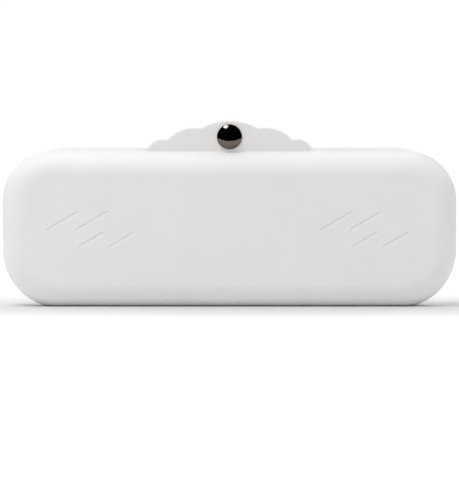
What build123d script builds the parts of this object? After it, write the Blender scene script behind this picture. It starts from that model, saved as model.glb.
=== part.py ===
"""Soft silicone pouch for makeup brushes, closed by two magnetic buttons.

The pouch is one silicone moulding: a flat rounded body that stands on its long edge, a slit mouth
along the top with a round relief hole at each end, a raised lip round the mouth, and a scalloped tab
on each side of it. Each tab carries one magnetic button: a domed cap shell crimped over the flange of
a rivet post on the outside, and a steel cup with a ring magnet on the inside. The two buttons meet
face to face and hold the mouth shut.

A moulding that bends is drawn here as rigid sections. The front and rear walls turn outwards about a
line part way up the body, and each tab turns outwards about its own root. The base keeps the floor,
the two ends and the lower walls.

Frame: millimetres, +Z up, +X along the pouch, the front faces -Y. The origin is the centre of the
flat foot that the pouch stands on.
"""

import os
from math import cos, radians, sin

from build123d import *

# The body of the pouch
LENGTH = 220.0
CREST = 75.0  # top of the shoulder, above the foot
THICKNESS = 26.0
WALL = 2.2
FLOOR = 3.0
FOOT_TRIM = 1.0  # the round underside is cut away by this much, which makes the foot
TOP_CORNER = 24.0
BOTTOM_CORNER = 28.0
EDGE_ROUND = 12.0  # rolls each face over into the rim of the body

# The mouth and its lip
MOUTH_GAP = 4.0
RELIEF_RADIUS = 4.0
RELIEF_X = 93.3
LIP_RISE = 1.9
LIP_CORNER = 35.0  # larger than the body's own corner, so that the lip fades out towards its ends
LIP_ROUND = 0.9

# The tabs: x, z and radius of each lobe of the scalloped edge
TAB_LOBES = ((0.0, 62.5, 27.5), (17.5, 70.1, 16.5), (33.0, 74.1, 7.0))
TAB_NOTCH_ROUND = 1.0
TAB_WIDTH = 79.9
TAB_ROUND = 0.9

# Slanted grooves on the front face: x and z from the middle of a group of four, and length.
# A groove is steep on its upper side, and ramps up to the face on its lower side.
GROOVE_GROUP_X = 65.9
GROOVE_GROUP_Z = 36.7
GROOVES = ((-14.3, 4.5, 18.6), (0.2, 4.8, 18.4), (-0.4, -4.4, 14.6), (14.2, -4.5, 15.4))
GROOVE_WIDTH = 2.0
GROOVE_STEP = 0.4  # width of the steep upper side
GROOVE_DEPTH = 0.4
GROOVE_TILT = 30.0

# The sections of the walls that turn: narrow at the hinge line, wide at the mouth
HINGE_Z = 36.0
HINGE_HALF_LENGTH = 36.0
WALL_TOP_HALF_LENGTH = 86.0
SECTION_GAP = 0.4

# The magnetic buttons, both on one line through the tabs
BUTTON_Z = 81.9
POST_RADIUS = 1.3
POST_BORE_RADIUS = 0.6
POST_BORE_DEPTH = 2.0
POST_CLEARANCE = 0.05
HEAD_RADIUS = 1.7
HEAD_RISE = 0.6
FLANGE_RADIUS = 5.0
FLANGE_THICKNESS = 0.4
CAP_RADIUS = 6.05
CAP_HEIGHT = 3.0
CAP_SHEET = 0.35
CAP_SKIRT = 0.6  # height of the straight rim under the dome
CAP_CURL_RADIUS = 4.4
CUP_RADIUS = 5.25
CUP_SHEET = 0.4
FACE_GAP = 0.1  # from the face of each button to the middle plane
MAGNET_RECESS = 0.15
MAGNET_CLEARANCE = 0.05
MAGNET_BORE_RADIUS = 2.1

TAB_INNER = MOUTH_GAP / 2
TAB_OUTER = TAB_INNER + WALL
ABOVE_ALL = 100.0

os.makedirs("parts", exist_ok=True)


def body_outline(grow, low, top_corner):
    """Front view of the body, grown outwards by grow, with its bottom edge at the height low."""
    with BuildSketch(Plane.XZ) as outline:
        with Locations((0, (low + CREST + grow) / 2)):
            Rectangle(LENGTH + 2 * grow, CREST + grow - low)
        fillet(outline.vertices().group_by(Axis.Y)[0], BOTTOM_CORNER + grow)
        fillet(outline.vertices().group_by(Axis.Y)[-1], top_corner)
    return outline.sketch


def mouth_plan(grow):
    """Plan view of the mouth, grown by grow: a slot with a round relief hole at each end."""
    with BuildSketch(Plane.XY.offset(CREST - EDGE_ROUND)) as plan:
        Rectangle(2 * RELIEF_X, MOUTH_GAP + 2 * grow)
        with Locations((-RELIEF_X, 0), (RELIEF_X, 0)):
            Circle(RELIEF_RADIUS + grow)
    return plan.sketch


def wall_outline(gap):
    """Front view of the section of a wall that turns, with a gap added along its slanted sides."""
    low = HINGE_HALF_LENGTH + gap
    high = WALL_TOP_HALF_LENGTH + gap
    top = CREST + LIP_RISE
    right_side = ((low, HINGE_Z), (high, top), (high, ABOVE_ALL))
    left_side = ((-high, ABOVE_ALL), (-high, top), (-low, HINGE_Z))
    with BuildSketch(Plane.XZ) as outline:
        Polygon(*right_side, *left_side, align=None)
    return outline.sketch


# --- The silicone moulding, whole except for its tabs ---

with BuildPart() as cavity:
    extrude(body_outline(-WALL, FLOOR, TOP_CORNER - WALL), amount=THICKNESS / 2 - WALL, both=True)
    fillet(cavity.faces().filter_by(Axis.Y).edges(), EDGE_ROUND - WALL)

with BuildPart() as lip:
    extrude(mouth_plan(WALL), amount=ABOVE_ALL)
    extrude(body_outline(LIP_RISE, 0, LIP_CORNER), amount=THICKNESS / 2, both=True, mode=Mode.INTERSECT)
    extrude(mouth_plan(0), amount=ABOVE_ALL, mode=Mode.SUBTRACT)
    crown = lip.edges().filter_by(lambda edge: edge.center().Z > CREST - EDGE_ROUND + 1)
    fillet(crown.filter_by(lambda edge: abs(edge.tangent_at(0.5).Z) < 0.9), LIP_ROUND)

with BuildPart() as moulding:
    extrude(body_outline(0, -FOOT_TRIM, TOP_CORNER), amount=THICKNESS / 2, both=True)
    fillet(moulding.faces().filter_by(Axis.Y).edges(), EDGE_ROUND)
    split(bisect_by=Plane.XY, keep=Keep.TOP)
    extrude(mouth_plan(0), amount=ABOVE_ALL, mode=Mode.SUBTRACT)
    add(lip.part)
    add(cavity.part, mode=Mode.SUBTRACT)

# --- The moulding as rigid sections ---

with BuildPart() as tab_seat:
    with BuildSketch(Plane.XY.offset(CREST)):
        Rectangle(TAB_WIDTH + 2 * SECTION_GAP, 2 * TAB_OUTER)
    extrude(amount=ABOVE_ALL)

groove_along = (cos(radians(GROOVE_TILT)), 0, sin(radians(GROOVE_TILT)))
groove_across = (-sin(radians(GROOVE_TILT)), 0, cos(radians(GROOVE_TILT)))

with BuildPart() as grooves:
    for group_x in (-GROOVE_GROUP_X, GROOVE_GROUP_X):
        for groove_x, groove_z, groove_length in GROOVES:
            middle = (group_x + groove_x, -THICKNESS / 2, GROOVE_GROUP_Z + groove_z)
            with BuildSketch(Plane(origin=middle, x_dir=groove_across, z_dir=groove_along)):
                Polygon(
                    (-GROOVE_WIDTH / 2, 0),
                    (GROOVE_WIDTH / 2 - GROOVE_STEP, -GROOVE_DEPTH),
                    (GROOVE_WIDTH / 2, 0),
                    (GROOVE_WIDTH / 2, GROOVE_DEPTH),
                    (-GROOVE_WIDTH / 2, GROOVE_DEPTH),
                    align=None,
                )
            extrude(amount=groove_length / 2, both=True)

with BuildPart() as pouch_base:
    add(moulding.part)
    add(grooves.part, mode=Mode.SUBTRACT)
    extrude(wall_outline(SECTION_GAP), amount=THICKNESS, both=True, mode=Mode.SUBTRACT)
pouch_base.part.label = "pouch_base"

with BuildPart() as front_wall:
    add(moulding.part)
    extrude(wall_outline(0), amount=THICKNESS, mode=Mode.INTERSECT)
    add(tab_seat.part, mode=Mode.SUBTRACT)
front_wall.part.label = "front_wall"

with BuildPart() as rear_wall:
    mirror(front_wall.part, about=Plane.XZ)
rear_wall.part.label = "rear_wall"

with BuildPart() as front_tab:
    with BuildSketch(Plane.XZ.offset(TAB_INNER)) as scallops:
        for lobe_x, lobe_z, lobe_radius in TAB_LOBES:
            with Locations((-lobe_x, lobe_z), (lobe_x, lobe_z)):
                Circle(lobe_radius)
        with Locations((0, CREST)):
            Rectangle(TAB_WIDTH, ABOVE_ALL, align=(Align.CENTER, Align.MIN), mode=Mode.INTERSECT)
        notches = scallops.vertices().filter_by(lambda corner: corner.Y > CREST + 1)
        fillet(notches, TAB_NOTCH_ROUND)
    extrude(amount=WALL)
    faces_round = front_tab.faces().filter_by(Axis.Y).edges()
    fillet(faces_round.filter_by(lambda edge: edge.center().Z > CREST + 0.1), TAB_ROUND)
    with BuildSketch(Plane.XZ):
        with Locations((0, BUTTON_Z)):
            Circle(POST_RADIUS + POST_CLEARANCE)
    extrude(amount=THICKNESS, mode=Mode.SUBTRACT)
front_tab.part.label = "front_tab"

with BuildPart() as rear_tab:
    mirror(front_tab.part, about=Plane.XZ)
rear_tab.part.label = "rear_tab"

# --- The front magnetic button: profiles of radius and y, with y negative in front ---

BUTTON_PLANE = Plane.XY.offset(BUTTON_Z)
BUTTON_AXIS = Axis((0, 0, BUTTON_Z), (0, 1, 0))
CAP_BACK = -TAB_OUTER
CAP_TOP = CAP_BACK - CAP_HEIGHT
SKIRT_TOP = CAP_BACK - CAP_SKIRT
SKIRT_INNER_RADIUS = CAP_RADIUS - CAP_SHEET
DOME_RISE = CAP_HEIGHT - CAP_SKIRT
DOME_RADIUS = (CAP_RADIUS**2 + DOME_RISE**2) / (2 * DOME_RISE)
DOME_INNER_RADIUS = DOME_RADIUS - CAP_SHEET
SKIRT_INNER_TOP = CAP_TOP + DOME_RADIUS - (DOME_INNER_RADIUS**2 - SKIRT_INNER_RADIUS**2) ** 0.5
FLANGE_BACK = CAP_BACK - CAP_SHEET
FLANGE_FRONT = FLANGE_BACK - FLANGE_THICKNESS
CUP_BACK = -TAB_INNER
CUP_FLOOR = CUP_BACK + CUP_SHEET
CUP_RIM = -FACE_GAP
HOLE_RADIUS = POST_RADIUS + POST_CLEARANCE
MAGNET_FACE = CUP_RIM - MAGNET_RECESS
MAGNET_RADIUS = CUP_RADIUS - CUP_SHEET - MAGNET_CLEARANCE
HEAD_FACE = CUP_FLOOR + HEAD_RISE
BORE_END = HEAD_FACE - POST_BORE_DEPTH

with BuildPart() as front_cap_shell:
    with BuildSketch(BUTTON_PLANE):
        with BuildLine():
            RadiusArc((0, CAP_TOP), (CAP_RADIUS, SKIRT_TOP), -DOME_RADIUS)
            Polyline(
                (CAP_RADIUS, SKIRT_TOP),
                (CAP_RADIUS, CAP_BACK),
                (CAP_CURL_RADIUS, CAP_BACK),
                (CAP_CURL_RADIUS, FLANGE_BACK),
                (SKIRT_INNER_RADIUS, FLANGE_BACK),
                (SKIRT_INNER_RADIUS, SKIRT_INNER_TOP),
            )
            RadiusArc((SKIRT_INNER_RADIUS, SKIRT_INNER_TOP), (0, CAP_TOP + CAP_SHEET), DOME_INNER_RADIUS)
            Line((0, CAP_TOP + CAP_SHEET), (0, CAP_TOP))
        make_face()
    revolve(axis=BUTTON_AXIS)
    rims = front_cap_shell.edges().filter_by(GeomType.CIRCLE)
    outer_rims = rims.filter_by(lambda edge: edge.radius > CAP_RADIUS - 0.01)
    fillet(outer_rims, CAP_SHEET * 0.8)
front_cap_shell.part.label = "front_cap_shell"

with BuildPart() as front_rivet_post:
    with BuildSketch(BUTTON_PLANE):
        Polygon(
            (0, FLANGE_FRONT),
            (FLANGE_RADIUS, FLANGE_FRONT),
            (FLANGE_RADIUS, FLANGE_BACK),
            (POST_RADIUS, FLANGE_BACK),
            (POST_RADIUS, CUP_FLOOR),
            (HEAD_RADIUS, CUP_FLOOR),
            (HEAD_RADIUS, HEAD_FACE),
            (POST_BORE_RADIUS, HEAD_FACE),
            (POST_BORE_RADIUS, BORE_END),
            (0, BORE_END),
            align=None,
        )
    revolve(axis=BUTTON_AXIS)
    fillet(front_rivet_post.edges().group_by(Axis.Y)[-1], HEAD_RISE * 0.45)
front_rivet_post.part.label = "front_rivet_post"

with BuildPart() as front_magnet_cup:
    with BuildSketch(BUTTON_PLANE):
        Polygon(
            (HOLE_RADIUS, CUP_BACK),
            (CUP_RADIUS, CUP_BACK),
            (CUP_RADIUS, CUP_RIM),
            (CUP_RADIUS - CUP_SHEET, CUP_RIM),
            (CUP_RADIUS - CUP_SHEET, CUP_FLOOR),
            (HOLE_RADIUS, CUP_FLOOR),
            align=None,
        )
    revolve(axis=BUTTON_AXIS)
    rims = front_magnet_cup.edges().filter_by(GeomType.CIRCLE)
    outer_rims = rims.filter_by(lambda edge: edge.radius > CUP_RADIUS - 0.01)
    fillet(outer_rims, CUP_SHEET * 0.6)
front_magnet_cup.part.label = "front_magnet_cup"

with BuildPart() as front_ring_magnet:
    with BuildSketch(BUTTON_PLANE):
        Polygon(
            (MAGNET_BORE_RADIUS, CUP_FLOOR),
            (MAGNET_RADIUS, CUP_FLOOR),
            (MAGNET_RADIUS, MAGNET_FACE),
            (MAGNET_BORE_RADIUS, MAGNET_FACE),
            align=None,
        )
    revolve(axis=BUTTON_AXIS)
    chamfer(front_ring_magnet.edges().group_by(Axis.Y)[-1], MAGNET_RECESS)
front_ring_magnet.part.label = "front_ring_magnet"

# --- The rear magnetic button is the front one turned to face it ---

with BuildPart() as rear_cap_shell:
    mirror(front_cap_shell.part, about=Plane.XZ)
rear_cap_shell.part.label = "rear_cap_shell"

with BuildPart() as rear_rivet_post:
    mirror(front_rivet_post.part, about=Plane.XZ)
rear_rivet_post.part.label = "rear_rivet_post"

with BuildPart() as rear_magnet_cup:
    mirror(front_magnet_cup.part, about=Plane.XZ)
rear_magnet_cup.part.label = "rear_magnet_cup"

with BuildPart() as rear_ring_magnet:
    mirror(front_ring_magnet.part, about=Plane.XZ)
rear_ring_magnet.part.label = "rear_ring_magnet"

front_metal = (front_cap_shell, front_rivet_post, front_magnet_cup, front_ring_magnet)
rear_metal = (rear_cap_shell, rear_rivet_post, rear_magnet_cup, rear_ring_magnet)
silicone = (pouch_base, front_wall, rear_wall, front_tab, rear_tab)

for piece in silicone + front_metal + rear_metal:
    export_step(piece.part, f"parts/{piece.part.label}.step")
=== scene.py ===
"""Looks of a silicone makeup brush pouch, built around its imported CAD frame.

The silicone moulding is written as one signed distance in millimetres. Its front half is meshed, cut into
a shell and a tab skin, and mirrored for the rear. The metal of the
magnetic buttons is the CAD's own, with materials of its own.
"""

import math

import bpy
import numpy as np
from mathutils import Matrix, Vector


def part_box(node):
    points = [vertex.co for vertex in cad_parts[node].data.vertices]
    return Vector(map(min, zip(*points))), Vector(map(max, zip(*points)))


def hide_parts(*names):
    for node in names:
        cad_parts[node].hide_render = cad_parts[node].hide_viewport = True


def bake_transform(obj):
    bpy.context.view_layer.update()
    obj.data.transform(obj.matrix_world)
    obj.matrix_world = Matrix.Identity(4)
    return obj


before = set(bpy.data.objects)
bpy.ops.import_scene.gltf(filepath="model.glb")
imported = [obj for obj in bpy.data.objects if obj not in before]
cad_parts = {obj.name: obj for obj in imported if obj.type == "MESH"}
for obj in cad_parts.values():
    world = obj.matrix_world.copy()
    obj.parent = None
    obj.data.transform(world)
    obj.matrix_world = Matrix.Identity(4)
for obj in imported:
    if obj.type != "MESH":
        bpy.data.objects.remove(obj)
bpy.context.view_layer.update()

MM = 0.001
SIDES = ("front", "rear")


def box_mm(node):
    """Lowest and highest corner of a CAD node, in millimetres."""
    low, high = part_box(node)
    return low / MM, high / MM


# --- Sizes in millimetres, from the CAD frame ---

base_high = box_mm("pouch_base")[1]
wall_high = box_mm("front_wall")[1]
tab_low, tab_high = box_mm("front_tab")
HALF_LENGTH = base_high.x
HALF_THICKNESS = base_high.y
LIP_TOP = wall_high.z
CREST = tab_low.z
TAB_TOP = tab_high.z
TAB_HALF_WIDTH = tab_high.x
TAB_OUTER = -tab_low.y
TAB_INNER = -tab_high.y
WALL = TAB_OUTER - TAB_INNER

# --- Shape of the moulding that the boxes don't give, in millimetres, as in the CAD ---

TOP_CORNER = 24.0
BOTTOM_CORNER = 28.0
EDGE_ROUND = 12.0
FOOT_TRIM = 1.0
FLOOR = 3.0
RELIEF_RADIUS = 4.0
RELIEF_X = 93.3
LIP_CORNER = 35.0
BELOW_MOUTH = CREST - EDGE_ROUND

# The lobes of a tab, which repeat on both sides of its middle: x, z and radius
TAB_LOBES = ((0.0, 62.5, 27.5), (17.5, 70.1, 16.5), (33.0, 74.1, 7.0))

# The grooves of a group: x and z from the middle of the group, and length
GROOVES = ((-14.3, 4.5, 18.6), (0.2, 4.8, 18.4), (-0.4, -4.4, 14.6), (14.2, -4.5, 15.4))
GROOVE_GROUP_X = 65.9
GROOVE_GROUP_Z = 36.7
GROOVE_TILT = math.radians(30)
GROOVE_WIDTH = 2.0
GROOVE_STEP = 0.4
GROOVE_DEPTH = 0.4

# The bar that cuts a groove: the parts of its ramp and of its step at which its section has points, how
# far it stands out of the face, where its section closes just outside the face, and how its ends fade
RAMP_PARTS = np.linspace(0.1, 1, 5)
STEP_PARTS = (0.25, 0.5, 0.75, 0.92)
BAR_BRIM = 0.3
BAR_SKIM = 0.02
BAR_FADE = 2.0
BAR_FADE_TURNS = np.linspace(math.radians(80), 0, 7)

# Softness of the moulded edges; the crease under the tab widens to the lip's round the end of the tab
RIM_ROUND = 1.0
NOTCH_BLEND = 1.2
TAB_CREASE_BLEND = 0.7
LIP_CREASE_BLEND = 3.5
CREASE_CHANGE_START = TAB_HALF_WIDTH - 4
CREASE_CHANGE_END = TAB_HALF_WIDTH + 6
MOUTH_BLEND = 1.5
FOOT_BLEND = 1.0

# Meshing grid: the spacing of its lines, fine at the tab, the lip, the relief holes and the foot
FINE_SPACING = 0.4
TAB_SPACING_Z = 0.35
LIP_SPACING = 0.3
FOOT_SPACING = 0.5
END_SPACING = 0.8
FACE_SPACING_X = 1.1
FACE_SPACING_Y = 0.8
FACE_SPACING_Z = 1.4

# How far the fine stretches reach past what they are for, and the grid past the moulding
TAB_REACH = 1.0
RELIEF_REACH = 7.0
CREASE_REACH = 2.5
SHOULDER_REACH = 6.0
FOOT_REACH = 1.5
GRID_MARGIN = 0.6
CLOSE_MARGIN = 0.5
PAST_MIDDLE = 0.5

# Finding the surface, and which corners are shaded smooth
SLOPE_STEP = 0.01
LEAST_STEEPNESS = 0.25
ON_SURFACE = 0.01
SHARP_ANGLE = math.radians(40)

# --- Stage, light and camera: places and sizes in millimetres ---

# The camera sees a floor with a painted shadow: darker around the pouch, growing paler away from it, and
# more slowly along it
FLOOR_RADIUS = 600.0
FLOOR_SIDES = 96
PAINTED_SHADOW_FLOOR = 0.6
SEEN_FLOOR_RIM = 0.98
PALER_FROM = 10.0
PALER_TO = 200.0
PALER_ALONG = 0.3
FLOOR_BOUNCE = 0.78

FLAG_HALF_WIDTH = 900.0
FLAG_HEIGHT = 110.0
FLAG_Y = -165.0

# Brightness of the surroundings, and how it changes with the direction
SKY = 0.8
SKY_SLOPE = (-0.08, 0.28, 0.5)
SEEN_SKY = 1.05
REFLECTED_SKY = 0.0

KEY_PLACE = (-270.0, -240.0, 820.0)
KEY_TARGET = (0.0, 0.0, CREST / 2)
KEY_SIZE = 280.0
KEY_POWER = 2.4

VIEW_DISTANCE = 1300.0
VIEW_WIDTH = 220.8
VIEW_CENTRE_Z = 32.3
VIEW_ELEVATION = math.radians(2)
SENSOR_WIDTH = 36.0
CLIP_START = 10.0


# --- The moulding as a signed distance, in millimetres ---


def smooth_step(value, start, end):
    """0 before start, 1 after end, and an even curve between."""
    t = np.clip((value - start) / (end - start), 0, 1)
    return t * t * (3 - 2 * t)


def smooth_or(a, b, reach):
    """Union of two solids, with the corner between them filled over the given reach."""
    near = np.maximum(reach - np.abs(a - b), 0) / reach
    return np.minimum(a, b) - near * near * reach / 4


def smooth_and(a, b, reach):
    """What two solids share, with the edge between them softened over the given reach."""
    return -smooth_or(-a, -b, reach)


def round_and(a, b, radius):
    """What two solids share, with the edge between them rounded to a radius."""
    a = a + radius
    b = b + radius
    outside = np.hypot(np.maximum(a, 0), np.maximum(b, 0))
    return np.minimum(np.maximum(a, b), 0) + outside - radius


def outline(x, z, inset, bottom, top_corner):
    """Front view of the body, moved inwards by inset, with its bottom edge at a height."""
    top = CREST - inset
    middle = (bottom + top) / 2
    radius = np.where(z > middle, top_corner, BOTTOM_CORNER - inset)
    dx = np.abs(x) - (HALF_LENGTH - inset - radius)
    dz = np.abs(z - middle) - ((top - bottom) / 2 - radius)
    outside = np.hypot(np.maximum(dx, 0), np.maximum(dz, 0))
    return np.minimum(np.maximum(dx, dz), 0) + outside - radius


def mouth_plan(x, y):
    """Plan view of the mouth: a slit with a round relief hole at each end."""
    dx = np.abs(x) - RELIEF_X
    slit = np.maximum(dx, np.abs(y) - TAB_INNER)
    relief = np.hypot(dx, y) - RELIEF_RADIUS
    return smooth_or(slit, relief, NOTCH_BLEND)


def raised_view(x, z):
    """Front view of what stands above the shoulder: the lip and the scalloped tabs."""
    raised = outline(x, z, CREST - LIP_TOP, 0.0, LIP_CORNER)
    for lobe_x, lobe_z, radius in TAB_LOBES:
        lobe = np.hypot(np.abs(x) - lobe_x, z - lobe_z) - radius
        raised = smooth_or(raised, lobe, NOTCH_BLEND)
    return raised


def crease_blend(x):
    """Reach of the soft crease between the shoulder and what stands above it."""
    past_tab = smooth_step(np.abs(x), CREASE_CHANGE_START, CREASE_CHANGE_END)
    return TAB_CREASE_BLEND + (LIP_CREASE_BLEND - TAB_CREASE_BLEND) * past_tab


def moulding_distance(x, y, z):
    """Signed distance to the whole silicone moulding, without its grooves."""
    front_view = outline(x, z, 0.0, -FOOT_TRIM, TOP_CORNER)
    body = round_and(front_view, np.abs(y) - HALF_THICKNESS, EDGE_ROUND)
    body = smooth_and(body, -z, FOOT_BLEND)
    plan = mouth_plan(x, y)
    raised = np.maximum(round_and(plan - WALL, raised_view(x, z), RIM_ROUND), BELOW_MOUTH - z)
    solid = smooth_or(body, raised, crease_blend(x))
    inner_view = outline(x, z, WALL, FLOOR, TOP_CORNER - WALL)
    cavity = round_and(inner_view, np.abs(y) - (HALF_THICKNESS - WALL), EDGE_ROUND - WALL)
    slit = np.maximum(plan, BELOW_MOUTH - z)
    return round_and(solid, -smooth_or(cavity, slit, MOUTH_BLEND), RIM_ROUND)


def gradient(distance, points):
    """Outward direction of a signed distance at some points."""
    slopes = []
    for axis in range(3):
        shift = np.zeros(3)
        shift[axis] = SLOPE_STEP
        ahead = distance(*(points + shift).T)
        behind = distance(*(points - shift).T)
        slopes.append((ahead - behind) / (2 * SLOPE_STEP))
    return np.stack(slopes, axis=1)


# --- Meshing ---


def stepped(start, *stretches):
    """Grid lines from a starting value through stretches, each given as its end and its spacing."""
    lines = [start]
    for end, spacing in stretches:
        count = max(1, round((end - lines[-1]) / spacing))
        lines.extend(np.linspace(lines[-1], end, count + 1)[1:])
    return np.array(lines)


def shifted(cells, axes, back):
    """Grid cells moved back by so many steps along two axes."""
    moved = cells.copy()
    for axis, steps in zip(axes, back):
        moved[:, axis] -= steps
    return moved


def surface_net(distance, xs, ys, zs):
    """Closed quad mesh of the zero surface of a distance: points in millimetres and quads."""
    lines = (xs, ys, zs)
    inside = distance(*np.meshgrid(xs, ys, zs, indexing="ij")) < 0
    cells = tuple(len(axis_lines) - 1 for axis_lines in lines)
    total = np.zeros(cells + (3,))
    count = np.zeros(cells)
    crossings = []
    for axis in range(3):
        low = [slice(None)] * 3
        high = [slice(None)] * 3
        low[axis] = slice(0, -1)
        high[axis] = slice(1, None)
        starts, ends = inside[tuple(low)], inside[tuple(high)]
        where = np.argwhere(starts != ends)
        crossings.append((axis, where, starts[tuple(where.T)]))
        centre = np.stack([lines[a][where[:, a]] for a in range(3)], axis=1)
        centre[:, axis] = (lines[axis][where[:, axis]] + lines[axis][where[:, axis] + 1]) / 2
        others = [a for a in range(3) if a != axis]
        for back in ((0, 0), (0, 1), (1, 0), (1, 1)):
            cell = shifted(where, others, back)
            np.add.at(total, tuple(cell.T), centre)
            np.add.at(count, tuple(cell.T), 1)
    used = count > 0
    number = np.full(cells, -1)
    number[used] = np.arange(used.sum())
    points = total[used] / count[used][:, None]
    quads = []
    for axis, where, starts_inside in crossings:
        around = ((axis + 1) % 3, (axis + 2) % 3)
        corners = [shifted(where, around, back) for back in ((1, 1), (0, 1), (0, 0), (1, 0))]
        ring = np.stack([number[tuple(cell.T)] for cell in corners], axis=1)
        ring[~starts_inside] = ring[~starts_inside][:, ::-1]
        quads.append(ring)
    return points, np.concatenate(quads)


def settle(distance, points, rounds=6):
    """Moves points onto the zero surface of a distance."""
    for _ in range(rounds):
        slope = gradient(distance, points)
        steepness = np.maximum((slope * slope).sum(axis=1), LEAST_STEEPNESS)
        points = points - (distance(*points.T) / steepness)[:, None] * slope
    return points


def link_object(name, mesh):
    """Object of a mesh, in the scene."""
    made = bpy.data.objects.new(name, mesh)
    bpy.context.scene.collection.objects.link(made)
    return made


def mesh_object(name, points, faces):
    """Mesh object from points in millimetres."""
    mesh = bpy.data.meshes.new(name)
    mesh.from_pydata((points * MM).tolist(), [], faces)
    mesh.validate()
    return link_object(name, mesh)


def block(low, high):
    """Plain box used only as a cutter, from its corners in millimetres."""
    corners = [(x, y, z) for x in (low[0], high[0]) for y in (low[1], high[1]) for z in (low[2], high[2])]
    faces = [(0, 1, 3, 2), (4, 6, 7, 5), (0, 4, 5, 1), (2, 3, 7, 6), (0, 2, 6, 4), (1, 5, 7, 3)]
    return mesh_object("cutter", np.array(corners, float), faces)


def cut(piece, cutter, operation, name):
    """New object holding the boolean of a piece and a cutter."""
    modifier = piece.modifiers.new("cut", "BOOLEAN")
    modifier.operation = operation
    modifier.solver = "MANIFOLD"
    modifier.object = cutter
    evaluated = piece.evaluated_get(bpy.context.evaluated_depsgraph_get())
    mesh = bpy.data.meshes.new_from_object(evaluated)
    piece.modifiers.remove(modifier)
    return link_object(name, mesh)


def discard(*objects):
    """Deletes working objects."""
    for item in objects:
        bpy.data.objects.remove(item)


def groove_section():
    """Section of a bar as (across, depth) points: a long lower ramp, then a steep upper side.

    It is closed outside the face, where its depth is negative.
    """
    low, high = -GROOVE_WIDTH / 2, GROOVE_WIDTH / 2
    deepest = high - GROOVE_STEP
    section = [(low, -BAR_BRIM), (low, -BAR_SKIM)]
    for t in RAMP_PARTS:
        section.append((low + (deepest - low) * t, GROOVE_DEPTH * t))
    for t in STEP_PARTS:
        section.append((deepest + GROOVE_STEP * t, GROOVE_DEPTH * (1 - smooth_step(t, 0, 1))))
    return section + [(high, -BAR_SKIM), (high, -BAR_BRIM)]


def groove_stations(reach):
    """Places along a groove and the size of its section there, which fades at both ends."""
    end = [(reach - BAR_FADE + BAR_FADE * math.sin(turn), math.cos(turn)) for turn in BAR_FADE_TURNS]
    return [(-place, size) for place, size in end] + end[::-1]


def groove_bar(centre, length):
    """Points and faces of the closed bar that cuts one slanted groove."""
    along = np.array([math.cos(GROOVE_TILT), 0, math.sin(GROOVE_TILT)])
    across = np.array([-math.sin(GROOVE_TILT), 0, math.cos(GROOVE_TILT)])
    inward = np.array([0, 1, 0])
    section = groove_section()
    count = len(section)
    points, faces = [], []
    for place, size in groove_stations(length / 2):
        for u, depth in section:
            sunk = depth * size if depth > 0 else depth
            points.append(centre + along * place + across * u * size + inward * sunk)
    last = len(points) - count
    for start in range(0, last, count):
        for k in range(count):
            following = (k + 1) % count
            faces.append((start + k, start + following, start + count + following, start + count + k))
    faces.append(tuple(range(count - 1, -1, -1)))
    faces.append(tuple(range(last, len(points))))
    return points, faces


def groove_cutter():
    """Bars for the eight grooves of the front face, as one object."""
    points, faces = [], []
    for side in (-1, 1):
        for offset_x, offset_z, length in GROOVES:
            x = side * GROOVE_GROUP_X + offset_x
            centre = np.array([x, -HALF_THICKNESS, GROOVE_GROUP_Z + offset_z])
            bar_points, bar_faces = groove_bar(centre, length)
            first = len(points)
            points.extend(bar_points)
            faces.extend(tuple(first + k for k in face) for face in bar_faces)
    return mesh_object("grooves", np.array(points), faces)


def read_all(items, attribute, width=1, kind=float):
    """One attribute of every item of a mesh, as an array with so many values a row."""
    values = np.empty(len(items) * width, kind)
    items.foreach_get(attribute, values)
    return values if width == 1 else values.reshape(-1, width)


def points_mm(piece):
    """All points of a piece, in millimetres."""
    return read_all(piece.data.vertices, "co", 3) / MM


def shade_moulding(piece):
    """Smooth shading from the exact surface, and within the grooves and on cuts from their own faces."""
    mesh = piece.data
    mesh.shade_smooth()
    points = points_mm(piece)
    slope = gradient(moulding_distance, points)
    slope /= np.maximum(np.linalg.norm(slope, axis=1), 1e-9)[:, None]
    on_surface = np.abs(moulding_distance(*points.T)) < ON_SURFACE
    averaged = read_all(mesh.vertices, "normal", 3)
    corner_vertex = read_all(mesh.loops, "vertex_index", kind=int)
    face_sizes = read_all(mesh.polygons, "loop_total", kind=int)
    corner_face = np.repeat(read_all(mesh.polygons, "normal", 3), face_sizes, axis=0)
    smooth = np.where(on_surface[:, None], slope, averaged)[corner_vertex]
    follows = (smooth * corner_face).sum(axis=1) > math.cos(SHARP_ANGLE)
    mesh.normals_split_custom_set(np.where(follows[:, None], smooth, corner_face).tolist())


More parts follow.
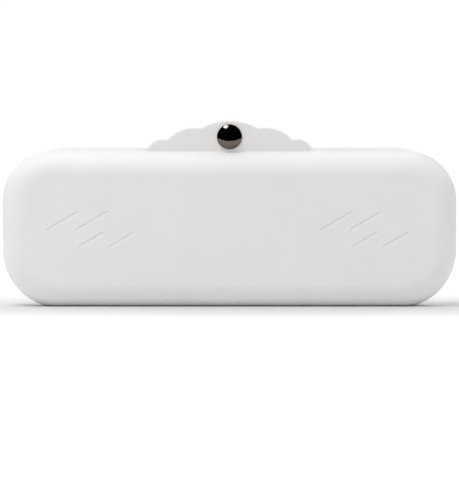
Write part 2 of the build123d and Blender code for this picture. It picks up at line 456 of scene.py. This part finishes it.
def front_solid():
    """Front half of the moulding, a little past its middle plane, without grooves."""
    coarse = 1.0
    across = stepped(
        0.0,
        (TAB_HALF_WIDTH + TAB_REACH, FINE_SPACING * coarse),
        (RELIEF_X - RELIEF_REACH, FACE_SPACING_X * coarse),
        (RELIEF_X + RELIEF_REACH, FINE_SPACING * coarse),
        (HALF_LENGTH + GRID_MARGIN, END_SPACING * coarse),
    )
    xs = np.concatenate([-across[:0:-1], across])
    ys = stepped(
        -HALF_THICKNESS - CLOSE_MARGIN,
        (-TAB_OUTER - CREASE_REACH, FACE_SPACING_Y),
        (-TAB_INNER + GRID_MARGIN, LIP_SPACING * coarse),
        (2 * PAST_MIDDLE, FINE_SPACING),
    )
    zs = stepped(
        -GRID_MARGIN,
        (FOOT_REACH, FOOT_SPACING),
        (CREST - SHOULDER_REACH, FACE_SPACING_Z * coarse),
        (LIP_TOP + CLOSE_MARGIN, LIP_SPACING * coarse),
        (TAB_TOP + GRID_MARGIN, TAB_SPACING_Z * coarse),
    )

    def past_middle(x, y, z):
        return np.maximum(moulding_distance(x, y, z), y - PAST_MIDDLE)

    points, quads = surface_net(past_middle, xs, ys, zs)
    return mesh_object("solid", settle(past_middle, points), quads.tolist())


def mirrored(piece, name):
    """Copy of a piece reflected in the middle plane, with its faces turned to match."""
    mesh = piece.data.copy()
    mesh.transform(Matrix.Diagonal((1, -1, 1, 1)))
    mesh.flip_normals()
    return link_object(name, mesh)


def moulding_pieces():
    """The moulding as two shells and two tab skins, keyed by name."""
    far = 2 * HALF_LENGTH
    half_space = block((-far, -far, -far), (far, 0, far))
    tab_space = block((-TAB_HALF_WIDTH, -far, CREST), (TAB_HALF_WIDTH, far, far))
    solid = front_solid()
    half = cut(solid, half_space, "INTERSECT", "half")
    shell = cut(half, tab_space, "DIFFERENCE", "plain_shell")
    grooves = groove_cutter()
    made = {
        "front_shell": cut(shell, grooves, "DIFFERENCE", "front_shell"),
        "front_tab_skin": cut(half, tab_space, "INTERSECT", "front_tab_skin"),
    }
    made["rear_shell"] = mirrored(shell, "rear_shell")
    made["rear_tab_skin"] = mirrored(made["front_tab_skin"], "rear_tab_skin")
    discard(half_space, tab_space, solid, half, shell, grooves)
    for piece in made.values():
        shade_moulding(piece)
    return made


# --- Baking the moulding pieces in place ---


def set_bend(piece):
    """Bakes a piece's transform into its mesh."""
    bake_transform(piece)


def bend_shell(piece):
    """Bakes a shell's transform into its mesh; the shell does not bend."""
    x, _, z = points_mm(piece).T
    set_bend(piece)


def bend_tab(piece):
    """Bakes a tab skin's transform into its mesh; the skin does not bend."""
    x, _, z = points_mm(piece).T
    set_bend(piece)


# --- Materials ---

NOISE_RANGE = (0.3, 0.7)


class Surface:
    """A material with its Principled shader and short helpers for adding nodes to it."""

    def __init__(self, name):
        self.material = bpy.data.materials.new(name)
        self.material.use_nodes = True
        self.tree = self.material.node_tree
        self.shader = self.tree.nodes["Principled BSDF"]
        self.place = self.node("ShaderNodeTexCoord").outputs["Object"]

    def node(self, kind, **settings):
        """Adds a node with some settings."""
        made = self.tree.nodes.new(kind)
        for key, value in settings.items():
            setattr(made, key, value)
        return made

    def link(self, output, socket):
        """Joins an output to an input."""
        self.tree.links.new(output, socket)

    def noise(self, scale, detail=3.0, stretch=(1, 1, 1)):
        """Noise of so many features per metre, from 0 to 1."""
        mapping = self.node("ShaderNodeMapping")
        mapping.inputs["Scale"].default_value = stretch
        self.link(self.place, mapping.inputs["Vector"])
        texture = self.node("ShaderNodeTexNoise")
        texture.inputs["Scale"].default_value = scale
        texture.inputs["Detail"].default_value = detail
        self.link(mapping.outputs["Vector"], texture.inputs["Vector"])
        return texture.outputs["Fac"]

    def remap(self, value, start, end, low, high, curve="LINEAR"):
        """Turns start to end into low to high, and holds the value there outside them."""
        ranged = self.node("ShaderNodeMapRange", interpolation_type=curve)
        ranged.inputs["From Min"].default_value = start
        ranged.inputs["From Max"].default_value = end
        ranged.inputs["To Min"].default_value = low
        ranged.inputs["To Max"].default_value = high
        self.link(value, ranged.inputs["Value"])
        return ranged.outputs["Result"]

    def spread(self, noise, low, high):
        """Turns the middle of a noise's range, where nearly all of it lies, into low to high."""
        return self.remap(noise, *NOISE_RANGE, low, high)

    def tint(self, value, dark, light):
        """Mixes two colours by a value."""
        mix = self.node("ShaderNodeMix", data_type="RGBA")
        mix.inputs["A"].default_value = (*dark, 1)
        mix.inputs["B"].default_value = (*light, 1)
        self.link(value, mix.inputs["Factor"])
        return mix.outputs["Result"]

    def bump(self, value, depth, under=None):
        """Relief of a depth in metres, over another relief if one is given."""
        relief = self.node("ShaderNodeBump")
        relief.inputs["Strength"].default_value = 1.0
        relief.inputs["Distance"].default_value = depth
        self.link(value, relief.inputs["Height"])
        if under is not None:
            self.link(under, relief.inputs["Normal"])
        return relief.outputs["Normal"]

    def set(self, **values):
        """Sets shader inputs; a value may be a number, a colour or a node output."""
        for key, value in values.items():
            socket = self.shader.inputs[key.replace("_", " ")]
            if isinstance(value, bpy.types.NodeSocket):
                self.link(value, socket)
            else:
                socket.default_value = value


def silicone():
    """White soft-touch silicone: matte, very slightly mottled, with a fine moulded grain."""
    surface = Surface("silicone")
    mottle = surface.spread(surface.noise(scale=60, detail=4), 0.0, 1.0)
    colour = surface.tint(mottle, dark=(0.746, 0.732, 0.724), light=(0.766, 0.752, 0.744))
    broad = surface.bump(surface.noise(scale=28, detail=1), depth=0.0005)
    grain = surface.bump(surface.noise(scale=4200, detail=2), depth=0.000012, under=broad)
    surface.set(
        Base_Color=colour,
        Roughness=surface.spread(surface.noise(scale=110), 0.5, 0.6),
        Specular_IOR_Level=0.4,
        Sheen_Weight=0.12,
        Sheen_Roughness=0.5,
        Normal=grain,
    )
    return surface.material


def plated_metal(name, dark, light, roughness, brushed=(1, 1, 1), depth=0.000004, metallic=1.0):
    """Plated metal with faint handling marks; brushed stretches its fine scratches."""
    surface = Surface(name)
    colour = surface.tint(surface.spread(surface.noise(scale=300), 0, 1), dark, light)
    scratches = surface.noise(scale=2600, detail=4, stretch=brushed)
    surface.set(
        Base_Color=colour,
        Metallic=metallic,
        Roughness=surface.spread(surface.noise(scale=900), *roughness),
        Normal=surface.bump(scratches, depth),
    )
    return surface.material


def cap_metal():
    """Polished black nickel of the domed caps."""
    return plated_metal(
        "cap",
        dark=(0.135, 0.108, 0.098),
        light=(0.165, 0.135, 0.123),
        roughness=(0.06, 0.12),
        depth=0.000001,
    )


def rivet_metal():
    """Bright nickel of the rivet posts."""
    return plated_metal(
        "rivet",
        dark=(0.36, 0.34, 0.31),
        light=(0.44, 0.42, 0.39),
        roughness=(0.22, 0.34),
    )


def cup_metal():
    """Darker plated steel of the magnet cups."""
    return plated_metal(
        "cup",
        dark=(0.25, 0.235, 0.215),
        light=(0.31, 0.295, 0.27),
        roughness=(0.25, 0.4),
        metallic=0.6,
    )


def magnet_metal():
    """Nickel-plated face of the ring magnets, finely brushed."""
    return plated_metal(
        "magnet",
        dark=(0.36, 0.335, 0.3),
        light=(0.44, 0.415, 0.375),
        roughness=(0.3, 0.42),
        brushed=(1, 1, 8),
        metallic=0.6,
    )


def paint(piece, material):
    """Gives a piece one material."""
    piece.data.materials.clear()
    piece.data.materials.append(material)


# --- The stage ---


def floor_material():
    """Floor that the camera sees with a painted shadow, darker near the pouch and paler towards its rim, and
    which throws back even light.
    """
    surface = Surface("stage")
    camera_ray = surface.node("ShaderNodeLightPath").outputs["Is Camera Ray"]
    squeezed = surface.node("ShaderNodeVectorMath", operation="MULTIPLY")
    squeezed.inputs[1].default_value = (PALER_ALONG, 1, 1)
    surface.link(surface.place, squeezed.inputs[0])
    reach = surface.node("ShaderNodeVectorMath", operation="LENGTH")
    surface.link(squeezed.outputs["Vector"], reach.inputs[0])
    # Painted shadow: the floor's tone as the camera sees it, darker near the pouch and paler away from it
    seen = surface.remap(
        reach.outputs["Value"],
        PALER_FROM * MM,
        PALER_TO * MM,
        PAINTED_SHADOW_FLOOR,
        SEEN_FLOOR_RIM,
        curve="SMOOTHSTEP",
    )
    colour = surface.node("ShaderNodeMix", data_type="RGBA")
    colour.inputs["A"].default_value = (FLOOR_BOUNCE, FLOOR_BOUNCE, FLOOR_BOUNCE, 1)
    surface.link(seen, colour.inputs["B"])
    surface.link(camera_ray, colour.inputs["Factor"])
    surface.set(Base_Color=colour.outputs["Result"], Roughness=0.9, Specular_IOR_Level=0.1)
    return surface.material


def flag_material():
    """Dead black of the flag card."""
    surface = Surface("flag")
    surface.set(Base_Color=(0, 0, 0, 1), Roughness=1.0, Specular_IOR_Level=0.0)
    return surface.material


def build_floor():
    """A wide round floor."""
    turns = np.arange(FLOOR_SIDES) * 2 * math.pi / FLOOR_SIDES
    rim = FLOOR_RADIUS * np.stack([np.cos(turns), np.sin(turns), 0 * turns], axis=1)
    floor = mesh_object("floor", rim, [tuple(range(FLOOR_SIDES))])
    paint(floor, floor_material())


def build_flag():
    """A black card in front of the pouch, only seen in reflections: it hides the far floor from the caps."""
    across, top = FLAG_HALF_WIDTH, FLAG_HEIGHT
    corners = [(-across, FLAG_Y, 0), (across, FLAG_Y, 0), (across, FLAG_Y, top), (-across, FLAG_Y, top)]
    flag = mesh_object("flag", np.array(corners), [(0, 1, 2, 3)])
    flag.visible_camera = False
    flag.visible_diffuse = False
    flag.visible_shadow = False
    paint(flag, flag_material())


def build_sky():
    """Soft surroundings, brighter above, behind and to the left, that metal sees as dark."""
    world = bpy.data.worlds.new("studio")
    bpy.context.scene.world = world
    world.use_nodes = True
    tree = world.node_tree
    path = tree.nodes.new("ShaderNodeLightPath")
    place = tree.nodes.new("ShaderNodeTexCoord")
    slope = tree.nodes.new("ShaderNodeVectorMath")
    slope.operation = "DOT_PRODUCT"
    slope.inputs[1].default_value = SKY_SLOPE
    tree.links.new(place.outputs["Generated"], slope.inputs[0])
    sky = tree.nodes.new("ShaderNodeMath")
    sky.operation = "ADD"
    sky.inputs[1].default_value = SKY
    tree.links.new(slope.outputs["Value"], sky.inputs[0])
    strength = sky.outputs["Value"]
    for ray, value in (("Is Glossy Ray", REFLECTED_SKY), ("Is Camera Ray", SEEN_SKY)):
        mix = tree.nodes.new("ShaderNodeMix")
        mix.data_type = "FLOAT"
        tree.links.new(strength, mix.inputs["A"])
        mix.inputs["B"].default_value = value
        tree.links.new(path.outputs[ray], mix.inputs["Factor"])
        strength = mix.outputs["Result"]
    background = tree.nodes["Background"]
    background.inputs["Color"].default_value = (1, 1, 1, 1)
    tree.links.new(strength, background.inputs["Strength"])


def build_key():
    """Square soft light, above, in front and to the left, that looks at the middle of the pouch."""
    lamp = bpy.data.lights.new("key", "AREA")
    lamp.size = KEY_SIZE * MM
    lamp.energy = KEY_POWER
    key = link_object("key", lamp)
    key.location = Vector(KEY_PLACE) * MM
    key.rotation_euler = (Vector(KEY_TARGET) - Vector(KEY_PLACE)).to_track_quat("-Z", "Y").to_euler()


def build_camera():
    """Long lens, almost level with the pouch, which stands in the upper part of the frame."""
    lens = bpy.data.cameras.new("camera")
    lens.sensor_fit = "HORIZONTAL"
    lens.sensor_width = SENSOR_WIDTH
    lens.lens = SENSOR_WIDTH * VIEW_DISTANCE / VIEW_WIDTH
    lens.clip_start = CLIP_START * MM
    camera = link_object("camera", lens)
    target = Vector((0, -HALF_THICKNESS, VIEW_CENTRE_Z))
    back = Vector((0, -math.cos(VIEW_ELEVATION), math.sin(VIEW_ELEVATION)))
    camera.location = (target + back * VIEW_DISTANCE) * MM
    camera.rotation_euler = (-back).to_track_quat("-Z", "Y").to_euler()
    bpy.context.scene.camera = camera


# --- Assembly ---


def add_moulding():
    """The silicone, in place of the plain CAD sections."""
    pieces = moulding_pieces()
    skin = silicone()
    for piece in pieces.values():
        paint(piece, skin)
    for side in SIDES:
        shell, tab_skin = pieces[f"{side}_shell"], pieces[f"{side}_tab_skin"]
        bend_shell(shell)
        bend_tab(tab_skin)
        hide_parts("pouch_base", f"{side}_wall")
        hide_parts(f"{side}_tab")


def paint_metal():
    """Materials of the CAD's own metal pieces."""
    metals = {
        "cap_shell": cap_metal(),
        "rivet_post": rivet_metal(),
        "magnet_cup": cup_metal(),
        "ring_magnet": magnet_metal(),
    }
    for part, metal in metals.items():
        for side in SIDES:
            paint(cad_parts[f"{side}_{part}"], metal)


bpy.context.scene.view_settings.view_transform = "Standard"
add_moulding()
paint_metal()
build_floor()
build_flag()
build_sky()
build_key()
build_camera()
